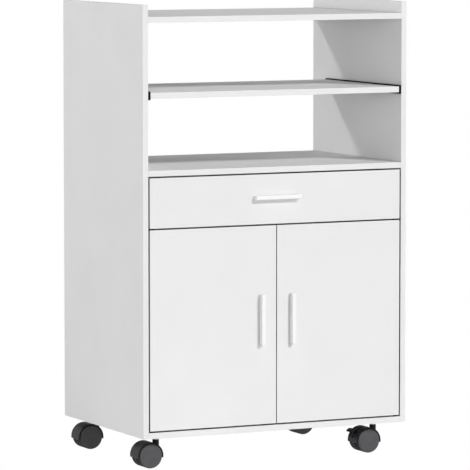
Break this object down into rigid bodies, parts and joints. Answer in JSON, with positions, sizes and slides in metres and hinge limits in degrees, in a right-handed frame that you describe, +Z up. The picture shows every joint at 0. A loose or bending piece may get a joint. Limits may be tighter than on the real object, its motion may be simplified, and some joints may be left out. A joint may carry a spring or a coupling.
{
  "type": "microwave cart",
  "caption": "White kitchen cart on twin-wheel casters with open bays, a pull-out shelf between them, a worktop, a drawer and a cupboard with two inset doors.",
  "frame": {"origin": "centre of the bounding box on the floor, under the wheels", "axes": "+Z up, +X to the right as seen from the front, fronts face -Y, +Y towards the back"},
  "size_m": [0.6, 0.4124, 0.941],
  "materials": {
    "white_board": "white melamine on particle board, satin",
    "white_handle": "smooth gloss white",
    "zinc_steel": "bright zinc plate",
    "black_rail": "black powder coat",
    "white_runner": "white epoxy coat",
    "white_nylon": "natural white nylon",
    "black_hood": "fine satin nylon",
    "grey_wheel": "dark grey satin nylon",
    "beech": "bare beech"
  },
  "bodies": {
    "cabinet": {"left_side_panel": "white_board", "right_side_panel": "white_board", "top_panel": "white_board", "worktop_panel": "white_board", "bottom_panel": "white_board", "back_panel": "white_board", "inner_shelf": "white_board", "shelf_pins": "zinc_steel", "cam_locks": "zinc_steel", "cam_bolts": "zinc_steel", "dowels": "beech", "left_shelf_rail": "black_rail", "right_shelf_rail": "black_rail", "drawer_runners": "white_runner", "board_screws": "zinc_steel", "pivot_brackets": "zinc_steel", "pivot_pins": "zinc_steel", "door_catch": "white_nylon", "caster_plates": "zinc_steel", "caster_screws": "zinc_steel"},
    "pullout": {"pullout_shelf": "white_board", "shelf_slide_bars": "black_rail", "slide_bar_screws": "zinc_steel"},
    "drawer": {"drawer_front": "white_board", "drawer_left_side": "white_board", "drawer_right_side": "white_board", "drawer_back": "white_board", "drawer_bottom": "white_board", "drawer_handle": "white_handle", "drawer_handle_screws": "zinc_steel", "drawer_slides": "white_runner", "drawer_screws": "zinc_steel", "drawer_cam_locks": "zinc_steel", "drawer_cam_bolts": "zinc_steel"},
    "front_runner_rollers": {"front_rollers": "white_nylon"},
    "rear_runner_rollers": {"rear_rollers": "white_nylon"},
    "left_door_leaf": {"left_door": "white_board", "left_door_handle": "white_handle", "left_handle_screws": "zinc_steel", "left_strike": "zinc_steel", "left_bushings": "white_nylon"},
    "right_door_leaf": {"right_door": "white_board", "right_door_handle": "white_handle", "right_handle_screws": "zinc_steel", "right_strike": "zinc_steel", "right_bushings": "white_nylon"},
    "front_left_caster": {"front_left_hood": "black_hood"},
    "front_left_front_wheel": {"front_left_wheel_front": "grey_wheel"},
    "front_left_rear_wheel": {"front_left_wheel_rear": "grey_wheel"},
    "front_right_caster": {"front_right_hood": "black_hood"},
    "front_right_front_wheel": {"front_right_wheel_front": "grey_wheel"},
    "front_right_rear_wheel": {"front_right_wheel_rear": "grey_wheel"},
    "front_right_brake_lever": {"front_right_brake": "black_hood"},
    "rear_left_caster": {"rear_left_hood": "black_hood"},
    "rear_left_front_wheel": {"rear_left_wheel_front": "grey_wheel"},
    "rear_left_rear_wheel": {"rear_left_wheel_rear": "grey_wheel"},
    "rear_right_caster": {"rear_right_hood": "black_hood"},
    "rear_right_front_wheel": {"rear_right_wheel_front": "grey_wheel"},
    "rear_right_rear_wheel": {"rear_right_wheel_rear": "grey_wheel"},
    "rear_right_brake_lever": {"rear_right_brake": "black_hood"}
  },
  "joints": [
    {"name": "pullout_slide", "type": "slide", "parent": "cabinet", "child": "pullout", "axis": [0, -1, 0], "range_m": [0, 0.23]},
    {"name": "drawer_slide", "type": "slide", "parent": "cabinet", "child": "drawer", "axis": [0, -1, 0], "range_m": [0, 0.25]},
    {"name": "front_rollers_spin", "type": "hinge", "parent": "cabinet", "child": "front_runner_rollers", "pos_m": [0, -0.16975, 0.5097], "axis": [1, 0, 0], "continuous": true},
    {"name": "rear_rollers_spin", "type": "hinge", "parent": "drawer", "child": "rear_runner_rollers", "pos_m": [0, 0.15625, 0.5095], "axis": [1, 0, 0], "continuous": true},
    {"name": "left_door_hinge", "type": "hinge", "parent": "cabinet", "child": "left_door_leaf", "pos_m": [-0.2795, -0.18875, 0.284], "axis": [0, 0, -1], "range_deg": [0, 110]},
    {"name": "right_door_hinge", "type": "hinge", "parent": "cabinet", "child": "right_door_leaf", "pos_m": [0.2795, -0.18875, 0.284], "axis": [0, 0, 1], "range_deg": [0, 110]},
    {"name": "front_left_swivel", "type": "hinge", "parent": "cabinet", "child": "front_left_caster", "pos_m": [-0.25, -0.14375, 0.05], "axis": [0, 0, 1], "continuous": true},
    {"name": "front_left_front_wheel_spin", "type": "hinge", "parent": "front_left_caster", "child": "front_left_front_wheel", "pos_m": [-0.27, -0.14375, 0.025], "axis": [0, 1, 0], "continuous": true},
    {"name": "front_left_rear_wheel_spin", "type": "hinge", "parent": "front_left_caster", "child": "front_left_rear_wheel", "pos_m": [-0.27, -0.14375, 0.025], "axis": [0, 1, 0], "continuous": true},
    {"name": "front_right_swivel", "type": "hinge", "parent": "cabinet", "child": "front_right_caster", "pos_m": [0.25, -0.14375, 0.05], "axis": [0, 0, 1], "continuous": true},
    {"name": "front_right_front_wheel_spin", "type": "hinge", "parent": "front_right_caster", "child": "front_right_front_wheel", "pos_m": [0.23, -0.14375, 0.025], "axis": [0, 1, 0], "continuous": true},
    {"name": "front_right_rear_wheel_spin", "type": "hinge", "parent": "front_right_caster", "child": "front_right_rear_wheel", "pos_m": [0.23, -0.14375, 0.025], "axis": [0, 1, 0], "continuous": true},
    {"name": "front_right_brake_press", "type": "hinge", "parent": "front_right_caster", "child": "front_right_brake_lever", "pos_m": [0.213, -0.14375, 0.042], "axis": [0, -1, 0], "range_deg": [0, 12]},
    {"name": "rear_left_swivel", "type": "hinge", "parent": "cabinet", "child": "rear_left_caster", "pos_m": [-0.25, 0.15625, 0.05], "axis": [0, 0, 1], "continuous": true},
    {"name": "rear_left_front_wheel_spin", "type": "hinge", "parent": "rear_left_caster", "child": "rear_left_front_wheel", "pos_m": [-0.27, 0.15625, 0.025], "axis": [0, 1, 0], "continuous": true},
    {"name": "rear_left_rear_wheel_spin", "type": "hinge", "parent": "rear_left_caster", "child": "rear_left_rear_wheel", "pos_m": [-0.27, 0.15625, 0.025], "axis": [0, 1, 0], "continuous": true},
    {"name": "rear_right_swivel", "type": "hinge", "parent": "cabinet", "child": "rear_right_caster", "pos_m": [0.25, 0.15625, 0.05], "axis": [0, 0, 1], "continuous": true},
    {"name": "rear_right_front_wheel_spin", "type": "hinge", "parent": "rear_right_caster", "child": "rear_right_front_wheel", "pos_m": [0.23, 0.15625, 0.025], "axis": [0, 1, 0], "continuous": true},
    {"name": "rear_right_rear_wheel_spin", "type": "hinge", "parent": "rear_right_caster", "child": "rear_right_rear_wheel", "pos_m": [0.23, 0.15625, 0.025], "axis": [0, 1, 0], "continuous": true},
    {"name": "rear_right_brake_press", "type": "hinge", "parent": "rear_right_caster", "child": "rear_right_brake_lever", "pos_m": [0.213, 0.15625, 0.042], "axis": [0, -1, 0], "range_deg": [0, 12]}
  ],
  "couplings": [
    {"joint": "front_rollers_spin", "follows": "drawer_slide", "rad_per_m": 125},
    {"joint": "rear_rollers_spin", "follows": "drawer_slide", "rad_per_m": 125}
  ]
}
